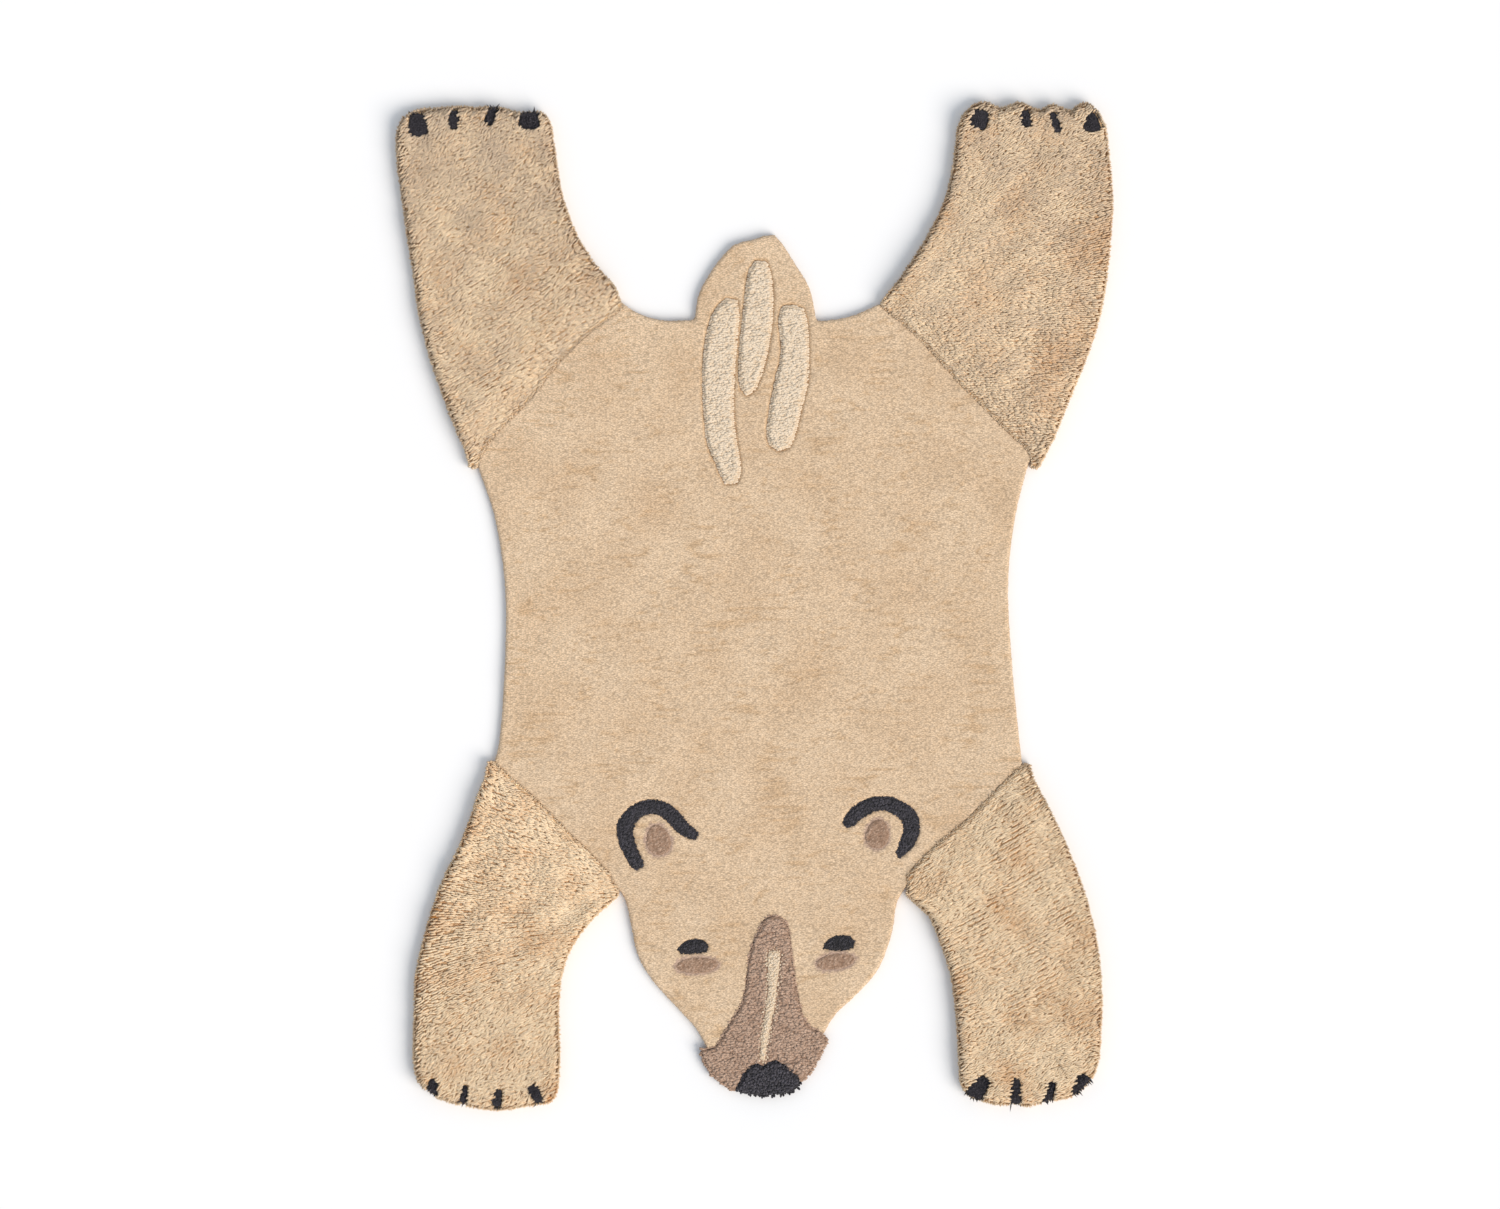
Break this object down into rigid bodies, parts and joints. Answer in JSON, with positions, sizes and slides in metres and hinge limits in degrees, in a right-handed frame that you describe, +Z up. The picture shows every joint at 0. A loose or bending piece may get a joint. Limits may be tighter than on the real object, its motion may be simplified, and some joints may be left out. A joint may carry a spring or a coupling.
{
  "type": "bear-shaped rug",
  "caption": "Flat tufted rug in the outline of a polar bear seen from above, with shag legs, a low-pile torso and head, and a plain underside that lies on the floor.",
  "frame": {"origin": "centre of the underside, on the floor", "axes": "+X towards the bear's side that lies on the right seen from above with the head nearest, +Y from head to tail, +Z up from the floor through the pile"},
  "size_m": [1.2093, 1.6966, 0.0287],
  "materials": {
    "sand_pile": "low cut pile of sand-coloured wool yarn, sheared level",
    "sand_shag": "deep shag of sand-coloured wool yarn with warm brown gaps between its ends",
    "taupe_pile": "cut pile of taupe wool yarn",
    "cream_pile": "cut pile of cream wool yarn",
    "charcoal_pile": "dense cut pile of charcoal wool yarn"
  },
  "bodies": {
    "root": {"body_pile": "sand_pile", "hind_leg_left": "sand_shag", "hind_leg_right": "sand_shag", "fore_leg_left": "sand_shag", "fore_leg_right": "sand_shag", "muzzle": "taupe_pile", "eye_patch_left": "taupe_pile", "eye_patch_right": "taupe_pile", "ear_inside_left": "taupe_pile", "ear_inside_right": "taupe_pile", "muzzle_stripe": "cream_pile", "tail_stroke_left": "cream_pile", "tail_stroke_middle": "cream_pile", "tail_stroke_right": "cream_pile", "nose": "charcoal_pile", "eye_left": "charcoal_pile", "eye_right": "charcoal_pile", "ear_rim_left": "charcoal_pile", "ear_rim_right": "charcoal_pile", "claw_hind_left_1": "charcoal_pile", "claw_hind_left_2": "charcoal_pile", "claw_hind_left_3": "charcoal_pile", "claw_hind_left_4": "charcoal_pile", "claw_hind_right_1": "charcoal_pile", "claw_hind_right_2": "charcoal_pile", "claw_hind_right_3": "charcoal_pile", "claw_hind_right_4": "charcoal_pile", "claw_fore_left_1": "charcoal_pile", "claw_fore_left_2": "charcoal_pile", "claw_fore_left_3": "charcoal_pile", "claw_fore_left_4": "charcoal_pile", "claw_fore_right_1": "charcoal_pile", "claw_fore_right_2": "charcoal_pile", "claw_fore_right_3": "charcoal_pile", "claw_fore_right_4": "charcoal_pile"}
  },
  "joints": []
}
